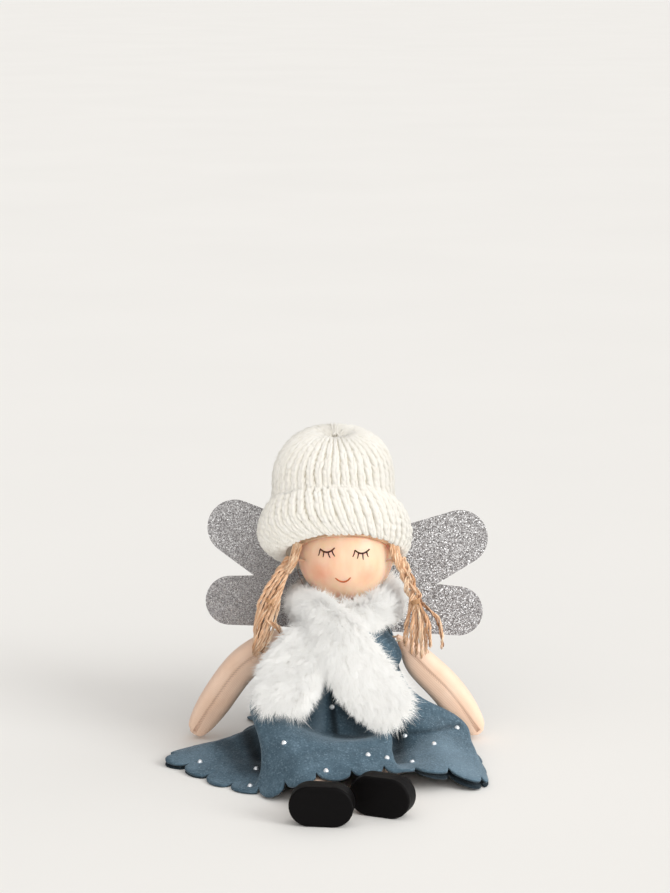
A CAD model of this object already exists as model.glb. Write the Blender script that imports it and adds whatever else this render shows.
import math
from collections import namedtuple

import bpy
import numpy as np
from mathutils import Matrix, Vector
from mathutils.bvhtree import BVHTree
from mathutils.kdtree import KDTree


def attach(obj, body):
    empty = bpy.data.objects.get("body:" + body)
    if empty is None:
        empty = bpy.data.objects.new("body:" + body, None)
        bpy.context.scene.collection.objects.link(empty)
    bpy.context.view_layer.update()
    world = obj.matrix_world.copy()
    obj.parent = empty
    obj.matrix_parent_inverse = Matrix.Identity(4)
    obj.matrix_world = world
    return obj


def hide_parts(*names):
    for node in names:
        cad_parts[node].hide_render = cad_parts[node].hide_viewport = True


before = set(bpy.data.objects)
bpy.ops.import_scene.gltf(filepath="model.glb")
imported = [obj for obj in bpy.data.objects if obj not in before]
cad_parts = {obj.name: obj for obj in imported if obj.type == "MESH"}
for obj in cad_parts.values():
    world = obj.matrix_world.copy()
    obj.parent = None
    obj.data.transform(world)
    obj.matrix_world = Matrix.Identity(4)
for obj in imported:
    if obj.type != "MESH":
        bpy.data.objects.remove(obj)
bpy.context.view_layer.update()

# Looks of the seated angel doll ornament. Lengths below are in millimetres and are scaled to metres as the
# meshes are made. Front is -Y, the doll's left is +X.
MM = 0.001
TURN = 2 * math.pi


# Vectors and lines
def unit(v):
    v = np.asarray(v, float)
    return v / np.maximum(np.linalg.norm(v, axis=-1, keepdims=True), 1e-9)


def clamp(x):
    """Values held between 0 and 1."""
    return np.clip(x, 0, 1)


def bell(x, width):
    """A smooth hump of height 1 that fades over the width."""
    return np.exp(-((x / width) ** 2))


def stacked(*arrays):
    """Arrays of matching shapes, side by side on a last axis."""
    return np.stack(np.broadcast_arrays(*arrays), -1)


def round_angles(sides):
    return TURN * np.arange(sides) / sides


def round_about(r, ang, z):
    """Points at a radius and an angle about the upright axis."""
    return stacked(r * np.cos(ang), r * np.sin(ang), z)


def spline(points, u):
    """Smooth line through rows of points, at places u counted in points."""
    p = np.asarray(points, float)
    p = np.vstack([2 * p[:1] - p[1:2], p, 2 * p[-1:] - p[-2:-1]])
    u = np.asarray(u, float)
    k = np.clip(np.floor(u).astype(int), 0, len(p) - 4)
    t = (u - k)[..., None]
    a, b, c, d = p[k], p[k + 1], p[k + 2], p[k + 3]
    return (2 * b + (c - a) * t + (2 * a - 5 * b + 4 * c - d) * t**2 + (3 * b - a - 3 * c + d) * t**3) / 2


def along(points, count):
    """Even places on the smooth line through all the points."""
    return spline(points, np.linspace(0, len(points) - 1, count))


def run_along(line):
    """Length of a line of points up to each of them."""
    return np.concatenate([[0], np.cumsum(np.linalg.norm(np.diff(line, axis=0), axis=1))])


def squared(hint, t):
    """The hint made square to the headings t."""
    hint = np.broadcast_to(np.asarray(hint, float), t.shape)
    return unit(hint - t * np.sum(hint * t, -1, keepdims=True))


def carried(path, u, hint, step=0.05):
    """Places on a path, their headings, the hint made square to those, and the direction square to both."""
    last = len(path) - 1
    t = unit(spline(path, np.minimum(last, u + step)) - spline(path, np.maximum(0, u - step)))
    n = squared(hint, t)
    return spline(path, u), t, n, np.cross(t, n)


def ripple(x, y, seed, terms=5):
    """Smooth made-up unevenness of two places, from about -1 to 1."""
    r = np.random.default_rng(seed)
    out = 0
    for k in range(terms):
        fx, fy, phase = r.uniform(0.5, 1.6), r.uniform(0.5, 1.6), r.uniform(0, TURN)
        out = out + np.sin(fx * x + fy * y * (-1) ** k + phase) / terms
    return out * 1.6


# Faces and meshes
def grid_faces(rows, cols, start=0, closed=False):
    """Quads of a grid of points, whose columns may close round."""
    idx = start + np.arange(rows * cols).reshape(rows, cols)
    nxt = np.roll(idx, -1, 1) if closed else idx[:, 1:]
    idx = idx if closed else idx[:, :-1]
    return np.stack([idx[:-1], nxt[:-1], nxt[1:], idx[1:]], -1).reshape(-1, 4)


def grid_places(rows, cols):
    return np.stack(np.meshgrid(np.linspace(0, 1, cols), np.linspace(0, 1, rows)), -1).reshape(-1, 2)


def grid_normals(g):
    """Normals of a grid of points."""
    return -unit(np.cross(np.gradient(g, axis=0), np.gradient(g, axis=1)))


def tube_faces(count, rings, sides):
    """Quads and end caps of many tubes of as many rings."""
    idx = np.arange(count * rings * sides).reshape(count, rings, sides)
    nxt = np.roll(idx, -1, 2)
    quads = np.stack([idx[:, :-1], nxt[:, :-1], nxt[:, 1:], idx[:, 1:]], -1).reshape(-1, 4)
    fan = np.arange(1, sides - 1)
    first = stacked(idx[:, 0, :1], idx[:, 0, fan + 1], idx[:, 0, fan]).reshape(-1, 3)
    last = stacked(idx[:, -1, :1], idx[:, -1, fan], idx[:, -1, fan + 1]).reshape(-1, 3)
    return quads, np.concatenate([first, last])


class Soup:
    """Points and faces gathered for one piece, with a tone, a texture place and a normal for each point."""

    def __init__(self):
        self.points, self.tones, self.places, self.normals = [], [], [], []
        self.quads, self.tris = [np.zeros((0, 4), int)], [np.zeros((0, 3), int)]
        self.count = 0

    def add(self, points, quads=None, tris=None, tone=0.5, place=None, normals=None):
        points = np.asarray(points, float).reshape(-1, 3)
        n = len(points)
        self.points.append(points)
        for store, faces in ((self.quads, quads), (self.tris, tris)):
            if faces is not None:
                store.append(np.asarray(faces) + self.count)
        self.tones.append(np.broadcast_to(np.ravel(tone), (n,)))
        self.places.append(np.zeros((n, 2)) if place is None else np.reshape(place, (-1, 2)))
        self.normals.append(np.zeros((n, 3)) if normals is None else np.reshape(normals, (-1, 3)))
        self.count += n

    def sheet(self, outer, inner, tone, inner_tone):
        """Cloth between an outer and an inner grid, with its edges closed."""
        rows, cols = outer.shape[:2]
        n = rows * cols
        idx = np.arange(n).reshape(rows, cols)
        faces = [grid_faces(rows, cols), grid_faces(rows, cols, n)[:, ::-1]]
        for edge, way in ((idx[0], 1), (idx[-1], -1), (idx[:, 0], -1), (idx[:, -1], 1)):
            rim = np.stack([edge[:-1], edge[:-1] + n, edge[1:] + n, edge[1:]], -1)
            faces.append(rim[:, ::way])
        tones = np.stack([np.broadcast_to(t, (rows, cols)) for t in (tone, inner_tone)])
        place = grid_places(rows, cols)
        self.add(np.stack([outer, inner]), np.concatenate(faces), tone=tones, place=np.stack([place, place]))

    def loft(self, points, tone):
        """Closed rings of points, with both ends closed to a middle point."""
        rows, sides = points.shape[:2]
        n = rows * sides
        i = np.arange(sides)
        j = (i + 1) % sides
        first = np.stack([np.full(sides, n), j, i], -1)
        last = np.stack([np.full(sides, n + 1), n - sides + i, n - sides + j], -1)
        middles = [points[0].mean(0), points[-1].mean(0)]
        tone = np.broadcast_to(tone, (rows, sides)).ravel()
        self.add(np.concatenate([points.reshape(-1, 3), middles]), grid_faces(rows, sides, 0, True)[:, ::-1],
                 np.concatenate([first, last])[:, ::-1], np.concatenate([tone, [0.5, 0.5]]),
                 np.concatenate([grid_places(rows, sides), [[0, 0], [0, 1]]]))

    def tubes(self, paths, radii, sides=5, hint=(0.31, 0.52, 0.79), tone=0.5, flat=1.0):
        """Round strands along one path or many, closed at both ends. flat squeezes them along the hint."""
        paths = np.asarray(paths, float)
        paths = paths.reshape(-1, *paths.shape[-2:])
        m, n, _ = paths.shape
        t = unit(np.gradient(paths, axis=1))
        across = squared(hint, t)
        other = np.cross(t, across)
        ang = round_angles(sides)[:, None]
        ring = np.cos(ang) * across[:, :, None] * flat + np.sin(ang) * other[:, :, None]
        points = paths[:, :, None] + np.broadcast_to(radii, (m, n))[:, :, None, None] * ring
        tone = np.broadcast_to(np.reshape(tone, (-1, 1, 1)), (m, n, sides))
        place = stacked(np.arange(sides) / sides, np.linspace(0, 1, n)[:, None] + np.arange(m)[:, None, None])
        self.add(points, *tube_faces(m, n, sides), tone, place)

    def build(self, name, material, body="doll", nodes=(), smooth=True, turned=False):
        points = np.concatenate(self.points) * MM
        quads, tris = np.concatenate(self.quads), np.concatenate(self.tris)
        corners = np.concatenate([quads.ravel(), tris.ravel()]).astype(np.int32)
        starts = np.concatenate([np.arange(len(quads)) * 4, len(quads) * 4 + np.arange(len(tris)) * 3])
        me = bpy.data.meshes.new(name)
        me.vertices.add(len(points))
        me.vertices.foreach_set("co", points.astype(np.float32).ravel())
        me.loops.add(len(corners))
        me.loops.foreach_set("vertex_index", corners)
        me.polygons.add(len(starts))
        me.polygons.foreach_set("loop_start", starts.astype(np.int32))
        me.polygons.foreach_set("use_smooth", np.full(len(starts), smooth))
        me.update(calc_edges=True)
        tone = me.attributes.new("tone", "FLOAT", "POINT")
        tone.data.foreach_set("value", np.concatenate(self.tones).astype(np.float32))
        uv = me.uv_layers.new(name="place")
        uv.data.foreach_set("uv", np.concatenate(self.places)[corners].astype(np.float32).ravel())
        me.validate()
        if turned:
            me.normals_split_custom_set_from_vertices(unit(np.concatenate(self.normals)))
        me.materials.append(material)
        ob = bpy.data.objects.new(name, me)
        bpy.context.scene.collection.objects.link(ob)
        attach(ob, body)
        if nodes:
            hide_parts(*nodes)
        return ob


# Materials
def tint(r, g, b):
    """A colour from its screen values."""
    def straight(c):
        c = c / 255
        return c / 12.92 if c <= 0.04045 else ((c + 0.055) / 1.055) ** 2.4
    return (straight(r), straight(g), straight(b), 1.0)


class Finish:
    """One procedural material. Colours are given as screen values."""

    def __init__(self, name, **shader):
        self.material = bpy.data.materials.new(name)
        self.material.use_nodes = True
        self.tree = self.material.node_tree
        self.shader = self.tree.nodes["Principled BSDF"]
        for key, value in shader.items():
            self.shader.inputs[key.replace("_", " ")].default_value = value
        self.where = self.node("TexCoord").outputs

    def node(self, kind, feeds=None, **settings):
        n = self.tree.nodes.new("ShaderNode" + kind)
        for key, value in settings.items():
            setattr(n, key, value)
        for key, value in (feeds or {}).items():
            self.feed(n.inputs[key], value)
        return n

    def feed(self, socket, value):
        if isinstance(value, bpy.types.NodeSocket):
            self.tree.links.new(value, socket)
        else:
            socket.default_value = value

    def laid(self, kind, source, feeds, **settings):
        """Outputs of a node that works on the object's own space, or on another one."""
        return self.node(kind, {"Vector": source or self.where["Object"], **feeds}, **settings).outputs

    def stretched(self, scale, source=None):
        return self.laid("Mapping", source, {"Scale": scale})["Vector"]

    def noise(self, scale, detail=3.0, rough=0.55, source=None):
        return self.laid("TexNoise", source, {"Scale": scale, "Detail": detail, "Roughness": rough})["Fac"]

    def waves(self, scale, distortion, source=None):
        feeds = {"Scale": scale, "Distortion": distortion}
        return self.laid("TexWave", source, feeds, bands_direction="DIAGONAL")["Fac"]

    def ramp(self, factor, *stops):
        n = self.node("ValToRGB", {"Fac": factor})
        while len(n.color_ramp.elements) < len(stops):
            n.color_ramp.elements.new(0.5)
        for element, (at, colour) in zip(n.color_ramp.elements, stops):
            element.position = at
            element.color = tint(*colour)
        return n.outputs["Color"]

    def mix(self, factor, a, b):
        return self.node("Mix", {"Factor": factor, 6: a, 7: b}, data_type="RGBA").outputs[2]

    def sum(self, op, a, b=0.5, c=0.0):
        return self.node("Math", {0: a, 1: b, 2: c}, operation=op).outputs[0]

    def vector(self, op, feeds):
        return self.node("VectorMath", feeds, operation=op).outputs

    def span(self, value, low, high, to_low=0.0, to_high=1.0):
        feeds = {"Value": value, "From Min": low, "From Max": high, "To Min": to_low, "To Max": to_high}
        return self.node("MapRange", feeds).outputs["Result"]

    def stain(self, colour, goal, value, low, high, most):
        """The colour drawn toward another as the value goes from low to high."""
        return self.mix(self.span(value, low, high, 0.0, most), colour, tint(*goal))

    def tone(self):
        return self.node("Attribute", attribute_name="tone").outputs["Fac"]

    def bump(self, height, strength, depth_mm, under=None):
        feeds = {"Height": height, "Strength": strength, "Distance": depth_mm * MM}
        if under is not None:
            feeds["Normal"] = under
        return self.node("Bump", feeds).outputs["Normal"]

    def done(self, colour, roughness, normal=None, metallic=None):
        feeds = {"Base Color": colour, "Roughness": roughness, "Normal": normal, "Metallic": metallic}
        for key, value in feeds.items():
            if value is not None:
                self.feed(self.shader.inputs[key], value)
        return self.material


# Sizes shared with the solids
head_r = 22.5
head_z = 90.5
disc_t = 1.2
cloth_t = 1.2
soft_gap = 0.3
wing_lean = math.radians(14)
torso_line = [
    [17, 0], [22, 3], [24, 9], [23.6, 19], [22.2, 29], [21.4, 36], [21.6, 44], [20, 51], [15, 57], [9, 60.5],
    [6, 61.5]
]
left_shoulder = np.array([25.5, 0, 49.0])
right_shoulder = np.array([-25.5, 0, 50.5])
arm_d = 15.4
leg_d = 10.0
tab_w = 5.2
tab_t = 3
left_arm_path = [
    left_shoulder + [-1.1, 0, 1.3], left_shoulder, [30, 0, 43.8], [35.5, 0, 37], [46, 0, 26.2],
    [54.5, 0, 15.4], [61.5, 0, 6.2], [64, 0, 3.2]
]
right_arm_path = [
    right_shoulder + [1.55, 0, 0.7], right_shoulder, [-30.5, 0, 48.2], [-38, 0, 44], [-50, 0, 34.5],
    [-62, 0, 17.8], [-70, 0, 5.8], [-72.4, 0, 2.8]
]
arm_girth = [
    [0.9 * tab_w / arm_d, 0.5 * tab_t / arm_d], [tab_w / arm_d, tab_t / arm_d], [0.76, 0.62], [0.96, 0.92],
    [1, 1], [1, 0.97], [0.7, 0.66], [0.26, 0.26]
]
left_leg_path = [
    [12, -22.4, 7.2], [12, -24, 7.2], [12, -29, 6.8], [12.5, -37, 6.2], [13.5, -52, 5.7], [14, -72, 5.6],
    [14, -90, 6.4], [14, -97, 7.2]
]
right_leg_path = [
    [-12, -22.4, 7.2], [-12, -24, 7.2], [-12, -29, 6.8], [-12, -37, 6.2], [-11.5, -55, 5.7], [-11, -80, 5.6],
    [-10.5, -104, 6.4], [-10.5, -111, 7.2]
]
leg_girth = [
    [0.9 * tab_w / leg_d, 0.5 * tab_t / leg_d], [tab_w / leg_d, tab_t / leg_d], [0.6, 0.5], [0.82, 0.8],
    [0.95, 0.95], [1, 1], [0.9, 0.9], [0.66, 0.66]
]
# Hat rings from the gathered top down: middle x, y, z, backward tilt, half width, front and back reach
crown_r = 27.6
brim_r = 35.5
hat_top = head_z + 58.5
crown_rings = [
    [-5, -4, -6.3, -6, 0.08, 1, 1], [-5, -4, -2.8, -6, 0.17, 1, 1], [-5, -4, 0, -6, 0.36, 1, 1],
    [-5, -4, -1.2, -4, 0.57, 1, 1], [-5, -3.5, -5.2, 0, 0.78, 1, 1], [-5.4, -3, -11.8, 6, 0.93, 0.98, 0.97],
    [-5.8, -2.6, -19.8, 14, 1, 0.99, 0.97], [-5.8, -2.3, -28.6, 22, 1.01, 1, 0.95]
]
brim_rings = [
    [-5.5, -2, 25, 26, 0.81, 1, 0.92], [-5.3, -2, 22.5, 27, 0.875, 1, 0.9],
    [-5.2, -2, 17.5, 28, 0.95, 1, 0.9], [-5.2, -2, 10.5, 29, 1, 1, 0.9],
    [-4.5, -2, 4.6, 31.5, 0.96, 1, 0.92], [-2.5, -2, 0.7, 33, 0.84, 1.02, 0.97]
]
# Rings of the room inside the hat from the rim up: middle x, y, z, backward tilt, half width
hat_room_r = 25.2
room_rings = [
    [-0.6, 0, 0.9, 33, 1], [-0.8, 1.4, 8, 30, 1.01], [-1.6, 1.8, 16, 27, 1], [-3.2, 0, 24, 24, 0.97]
]
# Plaits from the staple to the loose ends, tied at the point of this number
tie_point = 5
left_braid_path = [
    [25.8, -9.1, 91.4], [26, -9.5, 90], [27.2, -11.6, 86.5], [28.6, -14.4, 82], [30.8, -16, 76.5],
    [32.4, -16.8, 71.6], [34, -17.3, 66], [36, -18, 57], [37, -18, 49.5], [37.2, -18, 46]
]
right_braid_path = [
    [-25.8, -9.1, 91.4], [-26, -9.5, 90], [-28, -11.4, 86.5], [-30.6, -14, 82], [-33.2, -15.8, 76.5],
    [-35, -16.6, 71.6], [-36.6, -17.2, 66], [-38.6, -18, 57], [-40.4, -18, 49], [-41, -18, 45.4]
]
# Scarf from its end at the doll's right, round the neck, to the other end: middles, then width and depth
scarf_path = [
    [-30.5, -44, 28.5], [-28.6, -41.5, 34.5], [-25, -37.5, 42], [-18.5, -32, 51.5], [-9.5, -26.5, 60],
    [3, -22, 65], [14, -14.5, 66.8], [19.8, -2, 67.2], [15, 13.4, 67.2], [0, 19, 67.2], [-15, 13.4, 67.2],
    [-20, -3, 67.4], [-17, -18, 68.2], [-10, -31, 67.6], [-3, -38.5, 60.5], [3, -42.5, 50],
    [10, -46, 40], [17.4, -49.5, 31.5], [22.4, -52, 26.5]
]
scarf_girth = [
    [17, 8], [29, 13.6], [31, 15], [27, 13], [20, 10], [16, 9.4], [15.4, 10], [15.4, 10.4],
    [15.4, 10.4], [15.4, 10.4], [15.4, 10.4], [15.4, 10.4], [16, 10.4], [18, 10.4], [23, 10.4],
    [26, 12], [27, 12.6], [25, 11.4], [15, 7]
]
# Skirt fold lines: angle at the waist, then points below the waist, at the ridge, on the apron and at the hem
waist_r = 24.8
waist_z = 36
skirt_folds = [
    [-176, [-2, 31, 15], [-3, 40, 7], [-3.5, 48, 4], [-4, 57, 2]],
    [-158, [-11, 30, 14], [-16, 38, 4.5], [-19, 45, 2.5], [-23, 53, 1.5]],
    [-140, [-19, 25.5, 15], [-27, 33, 7.5], [-32, 39, 4.5], [-38, 46, 2]],
    [-122, [-26, 18, 14], [-33, 22, 5], [-38, 25, 2.5], [-44, 29, 1.5]],
    [-106, [-30.5, 9, 15], [-37, 12, 8], [-39.5, 15, 4.5], [-42, 17, 2]],
    [-92, [-32, 2, 15], [-40.5, 0, 7], [-44.5, -0.6, 3.5], [-49.5, -1.6, 1.5]],
    [-82, [-33.5, -5, 14], [-48, -9, 6.5], [-57, -15, 4.6], [-68, -18.5, 3]],
    [-73, [-34, -10, 13], [-51, -18, 6.2], [-64, -28, 5], [-79, -36, 3.6]],
    [-64, [-33, -14, 12], [-48, -26, 5], [-57, -41, 3.6], [-68, -51, 2.4]],
    [-57, [-32, -16, 11], [-43, -32, 4], [-49, -52, 3], [-56, -66, 1.5]],
    [-51, [-30, -17.5, 10.5], [-37, -35, 3.6], [-34.5, -57, 3], [-44, -75, 1.5]],
    [-46, [-32, -17, 25], [-44.5, -26, 25.5], [-38, -58, 13.5], [-39.5, -79, 2.2]],
    [-38, [-25, -24, 21], [-36, -38, 23.5], [-32, -66, 16], [-31.5, -86, 5.5]],
    [-27, [-16, -31, 17], [-25, -50, 21.5], [-21, -78, 16.6], [-17, -91.5, 12.8]],
    [-12, [-7, -36.5, 15.4], [-9, -60, 18.3], [-7, -77, 16.6], [-4, -90, 13.3]],
    [3, [2, -38, 15], [2, -62, 18], [4, -74, 16.6], [6, -86.6, 13.6]],
    [15, [10, -36.5, 15.6], [12, -57.5, 18], [13, -69.5, 16.4], [14.5, -82.6, 13.6]],
    [24, [15.5, -32, 16], [20.6, -50, 18], [20.6, -64, 15.6], [22, -79, 12.7]],
    [29, [18, -29, 12.5], [20.8, -44, 8], [21.8, -58.3, 8.2], [25.6, -77.2, 11.2]],
    [36, [22, -25.5, 14], [28.4, -40, 9], [31.5, -57, 9.6], [34.6, -74.4, 10.4]],
    [48, [27, -20, 20], [40, -36, 14.4], [43.5, -55, 11.6], [46.4, -70.6, 8.8]],
    [59, [31.5, -13.5, 24], [50, -22.5, 13.4], [54, -46, 9.2], [59.8, -70.8, 5]],
    [70, [32.6, -9.5, 25.6], [55, -12.5, 12.8], [59, -33, 7], [63.5, -58, 2.5]],
    [82, [33.5, -2, 21], [48, -2, 7.5], [54, -13, 3.8], [60.5, -28, 1.6]],
    [95, [31.5, 5, 15], [42, 7, 7], [48, 6, 4], [54, 0, 1.8]],
    [110, [28, 12, 14], [37.5, 18, 4.5], [43, 20.5, 2.5], [49.5, 23.5, 1.5]],
    [128, [23.5, 20, 15], [33, 28, 7.5], [38, 33, 4.5], [44, 39, 2]],
    [146, [16.5, 27, 14], [23, 36, 4.5], [27, 43, 2.5], [32, 51, 1.5]],
    [165, [7, 30.5, 15], [10, 39, 7.5], [11.5, 47, 4.5], [14, 56, 2]]
]
right_seam = 4
left_seam = 25
front_scallops = 21
back_scallops = 10
scallop_h = 6.5
notch_back = 1.2

# Camera at the photograph's angle
image_w, image_h = 670, 893
camera_distance = 1200.0
camera_rise = math.radians(18)
focal_px = 2505.0
origin_px = (346.0, 738.0)
sensor_mm = 36.0
eye = np.array([0, -camera_distance * math.cos(camera_rise), camera_distance * math.sin(camera_rise)])
pitch = camera_rise - math.atan((origin_px[1] - image_h / 2) / focal_px)
yaw = math.atan((origin_px[0] - image_w / 2) / focal_px)
forward = np.array([-math.sin(yaw) * math.cos(pitch), math.cos(yaw) * math.cos(pitch), -math.sin(pitch)])
rightward = np.array([math.cos(yaw), math.sin(yaw), 0])
upward = np.cross(rightward, forward)


def sight(px, py):
    """Direction from the camera through a pixel of the photograph."""
    return unit(forward + rightward * (px - image_w / 2) / focal_px + upward * (image_h / 2 - py) / focal_px)


def on_ball(px, py, r):
    """Point of a ball about the head's middle that a pixel shows."""
    d, c = sight(px, py), eye - [0, 0, head_z]
    b = np.dot(c, d)
    return eye + d * (-b - math.sqrt(max(0.0, b * b - np.dot(c, c) + r * r)))


def arc_on_head(pixels, rise):
    """Line through pixels of the photograph, a little above the head's paint."""
    return np.array([on_ball(x, y, head_r + rise) for x, y in along(pixels, 24)])


def skin_tree(grid):
    """Search tree of a grid of points, for what a pixel shows of it."""
    rows, cols = grid.shape[:2]
    return BVHTree.FromPolygons([Vector(p) for p in grid.reshape(-1, 3)], grid_faces(rows, cols).tolist())


def seen(tree, px, py):
    """Place and normal of what a pixel shows, both None where it shows nothing."""
    return tree.ray_cast(Vector(eye), Vector(sight(px, py)))[:2]


def build_camera():
    lens = bpy.data.cameras.new("camera")
    lens.sensor_fit = "VERTICAL"
    lens.sensor_height = sensor_mm
    lens.lens = sensor_mm * focal_px / image_h
    lens.clip_end = 60
    camera = bpy.data.objects.new("camera", lens)
    camera.location = Vector(eye * MM)
    camera.rotation_mode = "QUATERNION"
    camera.rotation_quaternion = Vector(forward).to_track_quat("-Z", "Y")
    bpy.context.scene.collection.objects.link(camera)
    bpy.context.scene.camera = camera


build_camera()


# Finishes
def velour():
    f = Finish("velour", Sheen_Weight=0.45, Sheen_Roughness=0.32, Sheen_Tint=tint(190, 206, 216),
               Specular_IOR_Level=0.2)
    patches = f.noise(95, 3, 0.6)
    pile = f.noise(2200, 2, 0.7)
    tufts = f.noise(1050, 2, 0.6, f.stretched((1.0, 0.7, 1.4)))
    brushed = f.noise(420, 3, 0.6, f.stretched((1.0, 0.35, 1.6)))
    colour = f.ramp(f.sum("MULTIPLY_ADD", brushed, 0.45, f.sum("MULTIPLY", patches, 0.55)),
                    (0.3, (64, 85, 98)), (0.5, (81, 104, 118)), (0.72, (102, 126, 141)))
    colour = f.stain(colour, (64, 82, 95), pile, 0.35, 0.75, 0.45)
    colour = f.stain(colour, (146, 169, 184), tufts, 0.56, 0.74, 0.5)
    colour = f.stain(colour, (52, 69, 82), tufts, 0.46, 0.3, 0.5)
    # a low tone is crushed, dark nap, and a high one is brushed up and pale
    colour = f.stain(colour, (14, 21, 26), f.tone(), 0.5, 0.0, 0.96)
    colour = f.stain(colour, (150, 174, 190), f.tone(), 0.5, 0.8, 0.6)
    normal = f.bump(pile, 0.55, 0.35, f.bump(tufts, 0.5, 0.5, f.bump(brushed, 0.4, 0.6)))
    return f.done(colour, f.span(pile, 0.3, 0.8, 0.75, 0.95), normal)


def skin_cloth():
    f = Finish("skin_cloth", Sheen_Weight=0.18, Sheen_Roughness=0.5, Specular_IOR_Level=0.25)
    fine = f.noise(3600, 2, 0.6)
    wales = f.waves(520, 1.2)
    colour = f.ramp(f.noise(70, 2, 0.5), (0.3, (243, 206, 179)), (0.7, (250, 218, 194)))
    colour = f.stain(colour, (222, 180, 150), fine, 0.4, 0.75, 0.16)
    colour = f.stain(colour, (158, 112, 86), f.tone(), 0.5, 0.0, 0.7)
    normal = f.bump(fine, 0.35, 0.18, f.bump(wales, 0.22, 0.2))
    return f.done(colour, f.span(fine, 0.3, 0.8, 0.7, 0.9), normal)


def knit():
    f = Finish("knit", Sheen_Weight=0.3, Sheen_Roughness=0.5, Specular_IOR_Level=0.2)
    plies = f.waves(1.6, 1.5, f.stretched((2.0, 4.0, 1.0), f.where["UV"]))
    fibres = f.noise(3000, 3, 0.7)
    colour = f.ramp(f.tone(), (0.0, (221, 213, 197)), (0.5, (239, 234, 223)), (1.0, (246, 243, 236)))
    colour = f.stain(colour, (238, 233, 222), fibres, 0.4, 0.8, 0.2)
    normal = f.bump(fibres, 0.35, 0.25, f.bump(plies, 0.45, 0.4))
    return f.done(colour, f.span(fibres, 0.3, 0.8, 0.75, 0.95), normal)


def fur():
    f = Finish("fur", Sheen_Weight=0.4, Sheen_Roughness=0.4, Specular_IOR_Level=0.15)
    drift = f.noise(160, 2, 0.5)
    colour = f.ramp(f.tone(), (0.0, (230, 226, 219)), (0.45, (246, 244, 240)), (1.0, (250, 249, 246)))
    colour = f.stain(colour, (242, 238, 231), drift, 0.35, 0.75, 0.12)
    return f.done(colour, f.span(drift, 0.3, 0.7, 0.7, 0.9))


def jute():
    f = Finish("jute", Sheen_Weight=0.15, Sheen_Roughness=0.5, Specular_IOR_Level=0.3)
    fibres = f.noise(1500, 3, 0.7, f.stretched((1.0, 1.0, 0.16)))
    colour = f.ramp(f.tone(), (0.0, (118, 76, 48)), (0.4, (230, 181, 140)), (1.0, (254, 231, 202)))
    colour = f.stain(colour, (168, 124, 86), fibres, 0.4, 0.72, 0.35)
    return f.done(colour, f.span(fibres, 0.3, 0.8, 0.55, 0.85), f.bump(fibres, 0.5, 0.3))


def painted_head():
    f = Finish("painted_head", Coat_Weight=0.35, Coat_Roughness=0.2, Specular_IOR_Level=0.35,
               Subsurface_Weight=0.6, Subsurface_Radius=(1.0, 0.3, 0.14), Subsurface_Scale=0.013)
    brushed = f.noise(260, 3, 0.5, f.stretched((1.0, 1.0, 0.3)))
    pores = f.noise(1800, 2, 0.6)
    colour = f.ramp(brushed, (0.3, (246, 200, 167)), (0.7, (251, 211, 182)))
    for px, py, reach, weight in blush_px:
        cheek = tuple(on_ball(px, py, head_r) * MM)
        away = f.vector("DISTANCE", {0: f.where["Object"], 1: cheek})["Value"]
        ragged = f.sum("MULTIPLY_ADD", f.noise(420, 3, 0.6), 0.0028, away)
        colour = f.stain(colour, (226, 132, 96), ragged, reach * MM, 0.0018, weight)
    normal = f.bump(pores, 0.08, 0.15, f.bump(brushed, 0.06, 0.2))
    return f.done(colour, f.span(brushed, 0.3, 0.7, 0.42, 0.55), normal)


def face_ink(name, colour, pale):
    f = Finish(name, Specular_IOR_Level=0.3)
    worn = f.noise(2200, 3, 0.6)
    return f.done(f.ramp(worn, (0.35, colour), (0.75, pale)), f.span(worn, 0.3, 0.7, 0.45, 0.65))


def black_wood():
    f = Finish("black_wood", Specular_IOR_Level=0.1)
    grain = f.noise(500, 4, 0.6, f.stretched((0.2, 1.0, 1.0)))
    dust = f.noise(2600, 2, 0.7)
    edge = f.node("NewGeometry").outputs["Pointiness"]
    colour = f.ramp(grain, (0.3, (4, 3, 3)), (0.75, (9, 7, 8)))
    colour = f.stain(colour, (60, 56, 56), dust, 0.62, 0.8, 0.12)
    colour = f.stain(colour, (60, 56, 56), edge, 0.52, 0.6, 0.35)
    normal = f.bump(grain, 0.25, 0.12, f.bump(dust, 0.2, 0.1))
    return f.done(colour, f.span(grain, 0.3, 0.8, 0.5, 0.66), normal)


def wing_board():
    """Grains of glitter, each with its own shade and tilt, on the faces of a pale board."""
    f = Finish("wing_board", Specular_IOR_Level=0.5)
    grains = f.laid("TexVoronoi", None, {"Scale": 2900})["Color"]
    shade, shine, gloss = f.node("SeparateColor", {"Color": grains}).outputs[:3]
    front = (0.0, -math.cos(wing_lean), math.sin(wing_lean))
    across = f.vector("DOT_PRODUCT", {0: f.where["Normal"], 1: front})["Value"]
    face = f.span(f.sum("ABSOLUTE", across), 0.6, 0.8)
    glitter = f.ramp(shade, (0.0, (97, 94, 94)), (0.45, (146, 143, 143)), (0.8, (183, 181, 181)),
                     (1.0, (232, 232, 232)))
    edge = f.ramp(f.noise(900, 3, 0.6), (0.3, (204, 196, 168)), (0.7, (226, 220, 198)))
    tilt = f.vector("SUBTRACT", {0: grains, 1: (0.5, 0.5, 0.5)})[0]
    tilt = f.vector("SCALE", {0: tilt, "Scale": 0.6})[0]
    normal = f.vector("ADD", {0: f.node("NewGeometry").outputs["Normal"], 1: tilt})[0]
    normal = f.vector("NORMALIZE", {0: normal})[0]
    metal = f.sum("MULTIPLY", face, f.span(shine, 0.2, 0.9, 0.25, 0.85))
    return f.done(f.mix(face, edge, glitter), f.span(gloss, 0.0, 1.0, 0.25, 0.5), normal, metal)


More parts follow.
